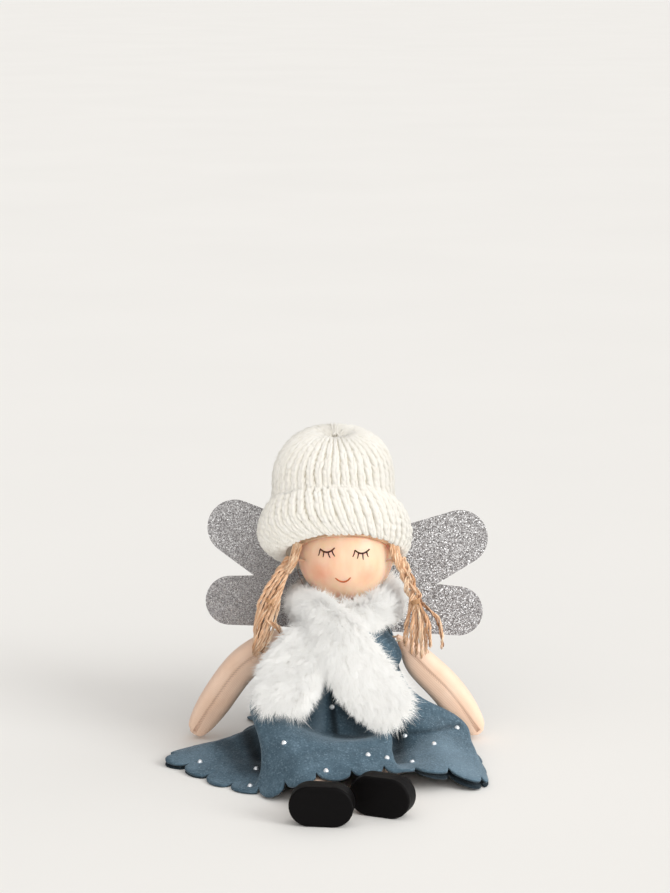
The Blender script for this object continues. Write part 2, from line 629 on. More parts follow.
def flake():
    f = Finish("flake", Specular_IOR_Level=0.6)
    shade = f.ramp(f.tone(), (0.0, (150, 148, 148)), (0.6, (196, 195, 195)), (1.0, (236, 236, 236)))
    rough = f.span(f.noise(900, 2), 0.3, 0.7, 0.18, 0.32)
    return f.done(shade, rough, metallic=f.span(f.tone(), 0.0, 1.0, 0.7, 0.95))


def cut_stone():
    f = Finish("cut_stone", Specular_IOR_Level=0.8, Coat_Weight=0.6, Coat_Roughness=0.04, Metallic=0.35)
    cloudy = f.noise(700, 2)
    colour = f.ramp(cloudy, (0.3, (224, 230, 236)), (0.7, (250, 252, 253)))
    return f.done(colour, f.span(cloudy, 0.3, 0.7, 0.04, 0.12))


def plain_stuff(name, dark, light, scale, rough=(0.6, 0.85), stretch=(1.0, 1.0, 1.0)):
    """Wood, thread, wire, board and pouch cloth: two tones along a grain."""
    f = Finish(name)
    grain = f.noise(scale, 4, 0.6, f.stretched(stretch))
    fine = f.noise(scale * 4, 2, 0.6)
    colour = f.stain(f.ramp(grain, (0.3, dark), (0.7, light)), dark, fine, 0.45, 0.75, 0.3)
    return f.done(colour, f.span(grain, 0.3, 0.7, *rough), f.bump(grain, 0.3, 0.15))


# Blush on the head: pixel of its middle, reach in mm and strength
blush_px = [(320, 574, 9.0, 0.5), (368, 575.5, 7.2, 0.34), (303, 566, 13, 0.34)]
thread_grain = (1, 1, 0.3)
dress_cloth = velour()
limb_cloth = skin_cloth()
hat_yarn = knit()
white_fur = fur()
jute_fibre = jute()
glitter_flake = flake()
stone_glass = cut_stone()
sewing_thread = plain_stuff("thread", (196, 176, 148), (226, 210, 186), 1800, stretch=thread_grain)
tie_twine = plain_stuff("tie_twine", (170, 126, 86), (208, 168, 128), 1800, stretch=thread_grain)
pouch_cotton = plain_stuff("pouch_cloth", (206, 198, 184), (228, 222, 210), 1400)
lash_ink = face_ink("lash_ink", (50, 22, 10), (72, 38, 22))
mouth_ink = face_ink("mouth_ink", (178, 84, 44), (198, 110, 66))

# Stuffed limbs
# full is a limb's whole width, and its seam is at an angle round it, counted from the hint
Limb = namedtuple("Limb", "path girth full hint seam_at")
seam_w = 0.26
stitch_lean = 0.035


def squarish(w):
    """Share of a limb's half width: stuffed flat, its section is squarer than round."""
    return np.sign(w) * np.abs(w) ** 0.62


def limb_half(limb, u):
    return spline(limb.girth, u) * limb.full / 2


def limb_skin(limb, u, ang, lift):
    """Points of a limb's skin at places along it and angles round it."""
    centre, _, n, b = carried(limb.path, u, limb.hint)
    g = limb_half(limb, u) + lift[..., None]
    return centre + n * (squarish(np.cos(ang)) * g[..., 1])[..., None] + (
        b * (squarish(np.sin(ang)) * g[..., 0])[..., None])


def stuffed(node, limb, rows, sides, seam_h, stitches):
    """An arm or a leg whose seam lies in a groove of puckered cloth, with slanting stitches over it."""
    u = np.linspace(0, len(limb.path) - 1, rows)[:, None]
    ang = round_angles(sides)
    half = limb_half(limb, u).mean(-1)
    reach = ((ang - limb.seam_at + math.pi) % TURN - math.pi) * half
    swell = clamp(half / (limb.full / 2)) ** 2
    ridge = 0.3 * bell(np.abs(reach) - 0.8, 0.5) - 0.7 * bell(reach, seam_w)
    pucker = 1 + 0.35 * np.sin(u * 26 + 1.3 * np.sin(u * 7))
    stuffing = 0.16 * ripple(ang * 2, u * 2.3, 3)
    lift = swell * (seam_h * ridge * pucker + stuffing)
    soup = Soup()
    soup.loft(limb_skin(limb, u, ang, lift), 0.5 - 0.2 * bell(reach, 0.22) * swell)
    s = np.linspace(-1, 1, 5)
    v = np.linspace(1.9, len(limb.path) - 1.7, stitches)[:, None] + stitch_lean * s
    across = limb.seam_at + 0.5 * s / np.maximum(limb_half(limb, v).mean(-1), 1)
    soup.tubes(limb_skin(limb, v, across, 0.02 * (1 - 0.6 * s * s)), 0.1, 5, tone=0.15)
    ob = soup.build(f"{node}_stuffed", limb_cloth, node, [node])


front_seam = math.radians(85)
under_seam = math.pi
# each limb with its rings, its points round, the depth of its seam and its stitches
limbs = [
    ("left_arm", Limb(left_arm_path, arm_girth, arm_d, [1, 0, 1], front_seam), 110, 144, 0.2, 60),
    ("right_arm", Limb(right_arm_path, arm_girth, arm_d, [-1, 0, 1], -front_seam), 120, 144, 0.2, 66),
    ("left_leg", Limb(left_leg_path, leg_girth, leg_d, [0, 0, 1], under_seam), 90, 48, 0.35, 40),
    ("right_leg", Limb(right_leg_path, leg_girth, leg_d, [0, 0, 1], under_seam), 100, 48, 0.35, 44)
]
for limb in limbs:
    stuffed(*limb)


# Body and ballast
def body_profile(z):
    """Radius of the stuffed body at a height."""
    line = along(torso_line, 200)
    return np.interp(z - disc_t, line[:, 1], line[:, 0])


def build_torso():
    """Stuffed body, sewn from four gores."""
    gores = 4
    r, z = np.split(along(torso_line, 70), 2, 1)
    ang = round_angles(96)
    reach = ((ang * gores / TURN + 0.5) % 1 - 0.5) * TURN / gores * r
    groove = -0.5 * bell(reach, 0.7)
    uneven = 0.15 * ripple(ang * 3, z * 0.25, 8)
    points = round_about(r - 0.2 + groove + uneven, ang, z + disc_t)
    soup = Soup()
    soup.loft(points[:, ::-1], (0.5 + groove)[:, ::-1])
    soup.build("body_stuffed", limb_cloth, "doll", ["torso"])


def build_pouch():
    half, low, tall, puckers = 13.6, 1.9, 11.2, 26
    rise = np.linspace(-0.5 * math.pi, 0.5 * math.pi, 40)[:, None]
    ang = round_angles(64)
    r = half * np.cos(rise) ** 0.35 + 0.22 * np.sin(ang * puckers) * np.cos(rise) ** 2
    z = low + tall * (0.5 + 0.5 * np.sin(rise)) + 0.2 * ripple(ang * 2, rise * 3, 4)
    soup = Soup()
    soup.loft(round_about(r, ang, z)[:, ::-1], 0.5)
    soup.build("ballast_pouch_filled", pouch_cotton, "doll", ["ballast_pouch"])


build_torso()
build_pouch()

# Knitted hat
stitch_h = 3.6
rib_h = 2.2
shell_inset = 1.5
loose_fibres = 2600
hat_rings = [[x, y, hat_top + z, tilt, half * crown_r, *reach] for x, y, z, tilt, half, *reach in crown_rings]
hat_rings += [[x, y, head_z + z, tilt, half * brim_r, *reach] for x, y, z, tilt, half, *reach in brim_rings]
rim_x, rim_y, rim_z, rim_tilt, rim_half = room_rings[0]
hat_rings.append([rim_x, rim_y, head_z + rim_z - 0.6, rim_tilt, rim_half * hat_room_r + 1.2, 1, 1])
# the inside goes from the rim up round the head and closes under the gathered top
hat_room = [[x, y, head_z + z, tilt, half * hat_room_r, 1, 1] for x, y, z, tilt, half in room_rings]
hat_room += [
    [-5.6, -2.4, hat_top - 28.6, 20, 23.4, 1, 1], [-5.8, -2.6, hat_top - 19.8, 12, 23, 1, 1],
    [-5.4, -3, hat_top - 14, 5, 19.6, 1, 1], [-5.1, -3.6, hat_top - 11, 0, 11.6, 1, 1],
    [-5, -4, hat_top - 10.4, -4, 3.6, 1, 1]
]


def hat_points(rings, v, a):
    """Points of the hat's outside or inside at ring places v and angles a."""
    x, y, z, tilt, half, front, back = np.moveaxis(spline(rings, v), -1, 0)
    s = np.sin(a)
    w = half * s * np.where(s < 0, front, back)
    tilt = np.radians(tilt)
    return stacked(x + half * np.cos(a), y + w * np.cos(tilt), z - w * np.sin(tilt))


def hat_normals(v, a):
    dv, da = 0.03, 0.01
    down = hat_points(hat_rings, v + dv, a) - hat_points(hat_rings, v - dv, a)
    across = hat_points(hat_rings, v, a + da) - hat_points(hat_rings, v, a - da)
    return unit(np.cross(down, across))


def knit_band(soup, v_from, v_to, wales, leg_t, lean, seed, gather):
    """Interlocked stitches, each of two legs, between two rings of the hat."""
    r = np.random.default_rng(seed)
    v_fine = np.linspace(v_from, v_to, 240)
    front, side = (run_along(hat_points(hat_rings, v_fine, a)) for a in (-math.pi / 2, 0.0))
    run = 0.5 * front + 0.5 * side
    count = int(round(run[-1] / stitch_h))
    legs = np.meshgrid(np.arange(wales), np.arange(count), [-1, 1], indexing="ij")
    wale, row, way = (x.reshape(-1, 1) for x in legs)
    m, steps, sides = len(wale), 6, 8
    s = np.linspace(0, 1, steps)
    stagger = r.uniform(-0.5, 0.5, wales)[wale]
    place = (row + stagger + 0.5 - 0.9 + 1.8 * s + r.normal(0, 0.05, m)[:, None]) / count
    v = np.interp(clamp(place) * run[-1], run, v_fine)
    wale_a = TURN / wales
    aside = 0.05 + 0.24 * (1 - s)
    a = wale_a * (wale + 0.5 + way * aside + lean * place * wales / TURN)
    a = a + 0.04 * wale_a * np.sin(wale * 1.7 + row * 0.35) + r.normal(0, 0.045 * wale_a, m)[:, None]
    half = spline(hat_rings, v)[..., 4]
    wide = np.clip(half * wale_a * 0.25, 0.3, 1.25) * r.uniform(0.85, 1.15, m)[:, None]
    lift = (leg_t * (0.44 * np.sin(math.pi * s) - 0.16) + rib_h * (0.45 - 2 * aside)
            + gather * np.sin(a * 9) * bell(half, 9))
    n = hat_normals(v, a)
    p = hat_points(hat_rings, v, a) + n * (lift + r.normal(0, 0.06, m)[:, None] - 1.0)[..., None]
    b = unit(np.cross(unit(np.gradient(p, axis=1)), n))
    taper = 0.6 + 0.4 * np.sin(math.pi * (s * 0.94 + 0.03)) ** 0.8
    ang = round_angles(sides)
    outward, sideways = n[:, :, None] * np.sin(ang)[:, None], b[:, :, None] * np.cos(ang)[:, None]
    points = (p[:, :, None] + outward * (leg_t * 0.5 * taper)[:, None, None]
              + sideways * (wide * taper)[..., None, None])
    depth = 0.25 * gather * bell(half, 6) + 0.3 * aside / aside[0]
    tone = clamp(0.8 + r.normal(0, 0.08, m)[:, None, None] + 0.18 * np.sin(ang) - depth[..., None])
    uv = stacked(np.arange(sides) / sides, s[:, None] + row[..., None])
    # light goes round in the loose white yarn, so its normals keep only part of the hat's own turn
    nx, ny = n[..., 0], n[..., 1]
    soft = stacked(-0.1 * nx - 0.55 * clamp(nx) ** 2, -0.7 * clamp(0.6 - ny), 0.7)
    quads, caps = tube_faces(m, steps, sides)
    soup.add(points, quads[:, [0, 3, 2, 1]], caps[:, [0, 2, 1]], tone, uv,
             unit(0.95 * (outward + sideways) + soft[:, :, None]))


def wool(soup, count, seed):
    """Single fibres that stand off the yarn."""
    r = np.random.default_rng(seed)
    v, a = r.uniform(1.2, 13.4, count), r.uniform(0, TURN, count)
    n = hat_normals(v, a)
    root = hat_points(hat_rings, v, a) - 0.2 * n
    way = unit(r.normal(0, 1, (count, 3)) + 0.5 * n)
    step = way * r.uniform(1.0, 2.4, count)[:, None]
    paths = np.stack([root, root + 0.5 * step + 0.35 * n, root + step], 1)
    soup.tubes(paths, 0.055, 3, tone=r.uniform(0.6, 1, count))


def build_hat():
    soup = Soup()
    ang = round_angles(120)
    last = len(hat_rings) - 1
    v = np.linspace(0, last, 110)[:, None]
    outer = hat_points(hat_rings, v, ang) - shell_inset * hat_normals(np.clip(v, 0.05, last - 0.05), ang)
    inner = hat_points(hat_room, np.linspace(0, len(hat_room) - 1, 60)[:, None], ang)
    # at the back the inside lies close on the head, within the knit
    inner[..., 1] -= 2.2 * clamp(np.sin(ang) - 0.1) * bell(inner[..., 2] - head_z - 3, 10)
    soup.loft(np.concatenate([outer, inner])[:, ::-1], 0.1)
    knit_band(soup, 0.9, 8.62, wales=42, leg_t=2.2, lean=0.06, seed=21, gather=0.5)
    knit_band(soup, 7.4, 13.75, wales=49, leg_t=2.3, lean=0.2, seed=22, gather=0.0)
    wool(soup, loose_fibres, 23)
    hat = soup.build("hat_knitted", hat_yarn, "doll", ["hat"], turned=True)
    # light passes through loose white yarn
    hat.visible_shadow = False


def build_hat_knot():
    """Gathering thread drawn tight in the dimple, with two short tails."""
    soup = Soup()
    at = np.array([-5, -4, hat_top - 4.6])
    turn = TURN * np.linspace(0, 1, 60)
    wind = stacked(np.cos(3 * turn), np.sin(3 * turn + 0.6), 0.7 * np.sin(2 * turn))
    soup.tubes(at + wind, 0.5, 6, tone=0.15)
    tails = [[[0, 0, -0.2], [0.6, -1.2, 2.8], [1.2, -3.5, 4.4], [2.4, -6.5, 3.2]],
             [[0, 0, -0.2], [-0.6, -0.6, 3.0], [0.0, -2.2, 4.8], [-0.8, -4.4, 4.2]]]
    for tail in tails:
        soup.tubes(at + along(tail, 24), np.linspace(0.55, 0.4, 24), 6, tone=0.6)
    soup.build("hat_gather_knot", hat_yarn, "doll", ["hat_knot"])


build_hat()
build_hat_knot()

# Face
# in pixels of the photograph: the lids' middles, and each lash by its place on the lid and its reach
eyes_px = [(327.4, 548.4), (362.2, 549.6)]
lid_half, lid_drop = 7.3, 3.8
lash_roots = [-1.0, -0.5, 0.08, 0.62]
lash_reach = [
    [(-2.0, 6.7), (-0.9, 5.6), (2.2, 5.8), (3.2, 6.0)],
    [(-2.5, 6.8), (-1.5, 6.2), (0.5, 6.4), (1.8, 5.4)]
]
mouth_px = [(335.4, 578), (338.8, 580.6), (343.2, 581.8), (347.4, 580.6), (350.6, 577.6)]
paint_rise = 0.06


def brush(soup, pixels, radii):
    """A flat line of paint on the head."""
    soup.tubes(arc_on_head(pixels, paint_rise), radii, 6, hint=(0, -1, 0), flat=0.35)


def build_face():
    swell = np.sin(math.pi * np.linspace(0.08, 0.92, 24))
    soup = Soup()
    for (ex, ey), lashes in zip(eyes_px, lash_reach):
        s = np.linspace(-1, 1, 7)
        lid = stacked(ex + lid_half * s, ey + lid_drop * (1 - s * s) - 0.5 * s)
        brush(soup, lid, 0.46 * (0.7 + 0.3 * swell))
        for root, (dx, dy) in zip(lash_roots, lashes):
            x, y = ex + lid_half * root * 0.96, ey + lid_drop * (1 - root * root) - 0.5 * root
            brush(soup, [(x, y), (x + dx * 0.5, y + dy * 0.62), (x + dx, y + dy)], np.linspace(0.4, 0.22, 24))
    soup.build("painted_lashes", lash_ink, "doll")
    soup = Soup()
    brush(soup, mouth_px, 0.5 * (0.5 + 0.5 * np.sin(math.pi * np.linspace(0.05, 0.95, 24))))
    soup.build("painted_mouth", mouth_ink, "doll")


build_face()

# Jute hair
string_twist = 34.0
plait_pitch = 21
# loose ends of each plait: place of the end, and how far the string bows sideways
left_ends = [
    ([27.6, -17.5, 50.4], -0.8), ([30.6, -19.2, 47.4], -0.5), ([33.0, -17.4, 45.8], -0.2),
    ([35.4, -19.4, 45.4], 0.1), ([37.6, -17.2, 46.6], 0.3), ([39.4, -19.0, 50.2], 0.6),
    ([44.8, -18.4, 49.8], 2.2)
]
right_ends = [([-30.6, -19.6, 59.0], 0.6), ([-29.4, -18.6, 57.0], 0.8)]
# one dark stray hair beside the face, and a few ends at the temples
stray_px = [(298, 556), (297, 566), (301, 580), (307, 591), (315, 600)]
temple_px = [
    [(300, 547), (298, 553), (297, 562)], [(389, 551), (392, 556), (393, 563)],
    [(386, 546), (390, 551), (394, 556)]
]
# strands over a staple: the innermost one's route, and how far each of its points is from the outermost one's
cover_route = np.array([[20.2, -14.0, 98.5], [21.4, -14.4, 93.5], [23.0, -14.6, 88.8], [25.8, -14.2, 84.2]])
cover_width = np.array([[3.8, 3.2, 0], [3.8, 1.8, 0], [3.6, 1.0, 0], [2.6, 0.8, 0]])


def bundle(soup, line, radius, count, fibre_r, twist, seed, fray=0.0):
    """Fibres laid side by side along a line, twisted together, frayed at the far end."""
    r = np.random.default_rng(seed)
    t = unit(np.gradient(line, axis=0))
    a = squared((0.2, 1.0, 0.1), t)
    b = np.cross(t, a)
    s = np.linspace(0, 1, len(line))
    out = radius * np.sqrt(r.uniform(0.02, 1, count))[:, None]
    turn = r.uniform(0, TURN, count)[:, None] + twist * TURN * s
    wander = np.sin(s * r.uniform(4, 11, count)[:, None] + r.uniform(0, TURN, count)[:, None]) * 0.22 * radius
    x, y = out * np.cos(turn) + wander, out * np.sin(turn) + wander[::-1]
    paths = line + x[..., None] * a + y[..., None] * b
    if fray:
        paths = paths + clamp((s - 0.8) / 0.2)[:, None] ** 2 * r.normal(0, fray, (count, 1, 3))
    radii = fibre_r * r.uniform(0.7, 1.25, count)[:, None] * np.interp(s, [0, 0.85, 1], [1, 1, 0.45])
    depth = clamp(out / radius * 0.45 + r.uniform(0, 0.55, count)[:, None] + r.normal(0, 0.14))
    soup.tubes(paths, radii, 4, hint=(0.5, 0.6, 0.2), tone=depth)


def strays(soup, path, count, reach, seed):
    """Single fibres that stand off a plait."""
    r = np.random.default_rng(seed)
    lines = []
    for _ in range(count):
        u = r.uniform(1.2, len(path) - 1.3)
        off = r.normal(0, 1, (3, 3)) * np.array([[1.2], [1.8], [1.0]]) * reach
        lines.append(along(spline(path, np.array([u, u + 0.5, u + 1.1])) + off, 14))
    soup.tubes(lines, 0.09, 3, tone=r.uniform(0.4, 1, count))


def strings(soup, line, across, deep, apart, count, seed, fray=0.0):
    """Jute strings twisted loosely about a line, each of a few fibres."""
    run = run_along(line)
    for k in range(count):
        a = TURN * (k / count + run / string_twist)[:, None]
        place = line + (across * np.cos(a) + deep * np.sin(a)) * apart
        bundle(soup, place, 0.55, 8, 0.26, run[-1] / 7, seed + k, fray)


def plait(soup, path, seed):
    """Three strands plaited loosely from the staple down to the tie."""
    u = np.linspace(0.6, tie_point + 0.1, 90)
    line, _, across, deep = carried(path, u, (1, 0, 0))
    run = run_along(line)
    width = np.interp(u, [0.6, 1.6, 3.0, 4.2, tie_point], [0.8, 1.4, 2.0, 2.3, 2.2])[:, None]
    for k in range(3):
        phase = TURN * (run / plait_pitch + k / 3)[:, None]
        strand = line + across * width * np.sin(phase) + deep * 0.5 * width * np.sin(2 * phase)
        strings(soup, strand, across, deep, 0.75, 3, seed + 3 * k)


def bunch(soup, path, seed):
    """Strings that hang side by side, slowly winding, cut off unevenly."""
    r = np.random.default_rng(seed)
    count = 13
    for k in range(count):
        u = np.linspace(0.5, r.uniform(8.1, 8.9), 90)
        line, _, across, deep = carried(path, u, (1, 0, 0))
        a = TURN * (k / count + 0.05 * u + r.uniform(-0.02, 0.02)) + 0.5
        half = np.interp(u, [0.5, 2, 4, 5.5, 7, 9], [1.5, 2.6, 4.6, 5.4, 5.0, 2.6]) * r.uniform(0.55, 1.0)
        place = line + across * (half * np.cos(a))[:, None] + deep * (0.4 * half * np.sin(a))[:, None]
        bundle(soup, place, 0.58, 8, 0.27, 6.0, seed + k, fray=0.35)


def locks(soup, path, ends, seed):
    """Loose strings below the tie, each with its own end."""
    first, second, mid = spline(path, tie_point + np.array([-0.6, 0.05, 1.3]))
    centre = np.mean([end for end, _ in ends], axis=0)
    for k, (end, bow) in enumerate(ends):
        aside = (end - centre) * [0.6, 1, 0.2]
        third = mid + aside + [bow, 0, 0]
        fourth = 0.45 * third + 0.55 * np.array(end) + [bow * 0.4, -0.6, 0]
        line = along([first + aside * 0.25, second + aside * 0.4, third, fourth, end], 44)
        t = unit(np.gradient(line, axis=0))
        across = squared((1, 0, 0), t)
        strings(soup, line, across, np.cross(t, across), 0.6, 2, seed + 2 * k, fray=0.4)


def build_tie(side, path):
    """Twine wound round the plait, with two cut ends."""
    turns, coil_r, coil_h = 3.2, 2.1, 2.0
    centre, t, a, b = (x[0] for x in carried(path, np.array([tie_point]), (1, 0, 0)))
    s = np.linspace(0, 1, 120)[:, None]
    turn = TURN * turns * s
    coil = centre + coil_r * (np.cos(turn) * a + np.sin(turn) * b) + coil_h * (s - 0.5) * t
    soup = Soup()
    soup.tubes(coil, 0.34, 6, hint=t)
    knot = coil[-1]
    for dx in (-1.2, 1.4):
        end = along([knot, knot + [dx * 0.5, -0.9, 0.2], knot + [dx, -1.2, -2.4]], 12)
        soup.tubes(end, 0.28, 5, tone=0.6)
    soup.build(f"{side}_braid_tie_wound", tie_twine, f"{side}_braid", [f"{side}_braid_tie"])


def build_braid(side, path, upper, ends, seed):
    soup = Soup()
    upper(soup, path, seed)
    locks(soup, path, ends, seed + 20)
    strays(soup, path, 34, 0.9, seed + 50)
    soup.build(f"{side}_braid_jute", jute_fibre, f"{side}_braid", [f"{side}_braid"])
    build_tie(side, path)


def build_hair_band():
    """Jute laid round the forehead under the brim, from staple to staple."""
    soup = Soup()
    tilt = math.radians(36)
    s = np.linspace(math.radians(-176), math.radians(-4), 70)
    count, strands = 16, 11
    r = np.random.default_rng(5)
    wave = r.uniform(3, 7, count)[:, None]
    up = r.uniform(-0.7, 0.9, count)[:, None] + 0.35 * np.sin(wave * s + r.uniform(0, TURN, count)[:, None])
    out = head_r + 0.45 + r.uniform(0, 1.0, count)[:, None] + 0.15 * np.sin(5 * s)
    x, y = out * np.cos(s), out * np.sin(s)
    y, z = y * math.cos(tilt) + up * math.sin(tilt), up * math.cos(tilt) - y * math.sin(tilt)
    soup.tubes(stacked(x, y, head_z + z), 0.22, 4, tone=r.uniform(0.2, 1, count))
    soup.tubes(arc_on_head(stray_px, 0.3), 0.12, 4, tone=0.0)
    for pixels in temple_px:
        soup.tubes(arc_on_head(pixels, 0.5), 0.2, 4)
    # strands that come from under the brim and cover the staples
    for side in (-1, 1):
        for k in range(strands):
            line = (cover_route + cover_width * (k + 0.5) / strands) * [side, 1, 1]
            line = along(line + r.normal(0, 0.18, (4, 3)), 24)
            bundle(soup, line, 0.5, 6, 0.25, 2.0, 200 + 20 * side + k)
    soup.build("hair_strands", jute_fibre, "doll", ["hair_band"])


build_braid("left", left_braid_path, plait, left_ends, 40)
build_braid("right", right_braid_path, bunch, right_ends, 80)
build_hair_band()

# Dress
# folds in the nap: pixels of the photo along each, reach in mm, depth of tone (below nothing where the nap is
# brushed up and pale), and how far down from the waist it goes (2 is the ridge, 4 the hem)
nap_folds = [
    ([(345, 708), (355, 722), (364, 734)], 6.0, 0.4, 1.85),
    ([(332, 694), (333, 712), (335, 732)], 2.4, 0.48, 1.85),
    ([(337, 736), (350, 737), (364, 737)], 2.6, 0.42, 1.9),
    ([(322, 694), (321, 712), (319, 728)], 3.2, -0.2, 1.85),
    ([(399, 736), (398, 750), (396, 762)], 5.2, 0.5, 4),
    ([(404, 733), (427, 731), (459, 725)], 1.7, 0.3, 4),
    ([(243, 722), (249, 738), (255, 756), (259, 770)], 5.4, 0.48, 4),
    ([(226, 742), (236, 754), (246, 770)], 6.0, 0.26, 4),
    ([(430, 746), (448, 752), (466, 772)], 13.0, -0.16, 4),
    ([(204, 752), (190, 762)], 8.0, -0.1, 4)
]
hem_steps = 12
fold_steps = 44
seam_gap = 0.15
floor_gap = 0.15


def panel(a, b, scallops):
    """Outer face of a skirt panel, hem stations by samples down the fold lines, and its hem's length."""
    lines = []
    for degrees, *points in skirt_folds:
        turn = math.radians(degrees)
        lines.append([[waist_r * math.sin(turn), -waist_r * math.cos(turn), waist_z]] + points)
    flat = np.reshape(lines, (len(lines), -1))
    flat = np.concatenate([flat[-1:], flat, flat, flat[:2]])

    def folds_at(u):
        return spline(flat, u + 1).reshape(-1, 5, 3)

    fine = np.linspace(a, b, (b - a) * 24 + 1)
    run = run_along(folds_at(fine)[:, 4])
    stations = np.linspace(seam_gap, run[-1] - seam_gap, scallops * hem_steps + 1)
    folds = folds_at(np.interp(stations, run, fine))
    v = np.linspace(0, 4, fold_steps)
    grid = np.stack([spline(fold, v) for fold in folds])
    out = unit(folds[:, 4] - folds[:, 3])
    t = np.arange(len(folds)) % hem_steps / hem_steps
    rise = scallop_h * np.sqrt(clamp(1 - (2 * t - 1) ** 2)) ** 0.85 - notch_back
    return grid + out[:, None] * (rise[:, None] * clamp(v - 3.0) ** 1.5)[..., None], run[-1]


def nap(outer):
    """Depth of the crushed or brushed nap over the points of the skirt's outer face."""
    tree = skin_tree(outer)
    down = np.linspace(0, 4, fold_steps)
    dark, pale = np.zeros(outer.shape[:2]), np.zeros(outer.shape[:2])
    for fold, reach, most, low in nap_folds:
        for px, py in along(fold, 7 * len(fold)):
            hit, _ = seen(tree, px, py)
            if hit is not None:
                near = np.exp(-np.sum((outer - np.array(hit)) ** 2, -1) / reach**2) * (down <= low)
                dark, pale = np.maximum(dark, most * near), np.minimum(pale, most * near)
    return dark + pale


def build_skirt(node, a, b, scallops, seed):
    """One panel of the skirt, gathered at the waist and crumpled below."""
    grid, hem = panel(a, b, scallops)
    n = grid_normals(grid)
    i, j = np.arange(len(grid))[:, None], np.arange(fold_steps)
    crumple = 0.28 * ripple(i * 0.09, j * 0.33, seed) + 0.14 * ripple(i * 0.23, j * 0.62, seed + 1)
    gathers = 0.32 * np.sin(i * 0.52 + 1.2 * np.sin(i * 0.07)) * clamp(1 - j / 16)
    loose = clamp(j / 14) * clamp((fold_steps - 1 - j) / 4)
    outer = grid + n * ((crumple * loose + gathers) * 0.8)[..., None]
    outer[..., 2] = np.maximum(outer[..., 2], 1.25)
    inner = outer - n * cloth_t * 0.85
    inner[..., 2] = np.maximum(inner[..., 2], floor_gap)
    soup = Soup()
    soup.sheet(outer, inner, 0.5 - nap(outer) if node == "skirt_front" else 0.5, 0.2)
    ob = soup.build(f"{node}_cloth", dress_cloth, "doll", [node])
    down = np.linalg.norm(np.diff(outer, axis=1), axis=-1)
    length = float(down.sum(1).max())
    return outer


def build_lining(name, first, last, drop):
    """Dark second layer under the front panel's hem, between two of its scallops."""
    rows, under = 12, 1.7
    over = front_outer[first * hem_steps:last * hem_steps + 1, -rows:]
    along_hem = np.linspace(0, 1, len(over))[:, None]
    lower = under + (drop - under) * np.sin(math.pi * along_hem) ** 0.7 * np.linspace(0.75, 1, rows)
    outer = over - np.array([0, 0, 1.0]) * lower[..., None]
    outer[..., 2] = np.maximum(outer[..., 2], 0.7)
    inner = outer - grid_normals(over) * 0.5
    inner[..., 2] = np.maximum(inner[..., 2], floor_gap)
    soup = Soup()
    soup.sheet(outer, inner, 0.06, 0.06)
    ob = soup.build(name, dress_cloth, "doll")
    length = float(np.linalg.norm(np.diff(outer, axis=1), axis=-1).sum(1).max())
    corner = outer[1:, 1:] - outer[:-1, :-1], outer[1:, :-1] - outer[:-1, 1:]
    area = 0.5 * np.linalg.norm(np.cross(*corner), axis=-1).sum()


def build_bodice():
    """Dress top: a gathered tube of cloth with two armholes."""
    rows, sides = 46, 200
    foot, top, armhole_r = 33.6, 57.2, 7.2
    z = np.linspace(foot, top, rows)[:, None]
    ang = round_angles(sides)
    share = (z - foot) / (top - foot)
    r = body_profile(z) + soft_gap + cloth_t + 1.3 * np.sin(math.pi * share)
    fold = 0.45 * np.sin(ang * 22 + 1.4 * np.sin(ang * 3)) * (np.exp(-share / 0.22) + 0.35)
    slack = 0.35 * ripple(ang * 2.5, z * 0.35, 31)
    # the cloth stands off the body in front of the left arm
    pouf = 4.6 * bell(ang - TURN + math.radians(31), 0.32) * np.sin(math.pi * clamp(share * 1.15))
    wide = r + fold + slack + pouf
    outer = round_about(wide, ang, z).reshape(-1, 3)
    inner = round_about(np.maximum(body_profile(z) + soft_gap, wide - cloth_t), ang, z).reshape(-1, 3)
    n = rows * sides
    skin = grid_faces(rows, sides, 0, True)
    x, y, height = outer[skin].mean(1).T
    for shoulder in (left_shoulder, right_shoulder):
        keep = (x * shoulder[0] <= 0) | (np.hypot(y, height - shoulder[2]) >= armhole_r)
        skin, x, y, height = skin[keep], x[keep], y[keep], height[keep]
    # the cloth's thickness is closed along the waist and the neck, then round the armholes
    idx = np.arange(n).reshape(rows, sides)
    rims = [np.stack([idx[0], np.roll(idx[0], -1)], -1), np.stack([np.roll(idx[-1], -1), idx[-1]], -1)]
    edges = np.concatenate([skin[:, [k, (k + 1) % 4]] for k in range(4)])
    back = set(map(tuple, edges[:, ::-1]))
    ends = set(idx[0]) | set(idx[-1])
    rims.append([e for e in map(tuple, edges) if e not in back and not (e[0] in ends and e[1] in ends)])
    near, far = np.concatenate(rims).T
    faces = [skin, skin[:, ::-1] + n, np.stack([near, near + n, far + n, far], -1)]
    soup = Soup()
    soup.add(np.concatenate([outer, inner]), np.concatenate(faces), tone=np.repeat([0.5, 0.42], n))
    ob = soup.build("bodice_cloth", dress_cloth, "doll", ["bodice"])


front_outer = build_skirt("skirt_front", right_seam, left_seam, front_scallops, 60)
build_skirt("skirt_back", left_seam, len(skirt_folds) + right_seam, back_scallops, 64)
build_lining("skirt_lining_left", 13, 16, 3.6)
build_lining("skirt_lining_right", 3, 6, 2.4)
build_bodice()

# Cut stones on the skirt, at pixels of the photograph
stone_px = [
    (332, 707), (284, 743), (368, 755), (326, 771), (256, 769), (250, 786), (387, 758), (405, 736),
    (434, 744), (412, 762), (457, 728), (200, 762)
]
stone_d = 2.3
stone_sides = 8
# radius and height of a stone's levels, as shares of its width
stone_levels = [(0.55, -0.075), (0.5, 0.165), (0.34, 0.375), (0.3, 0.42)]


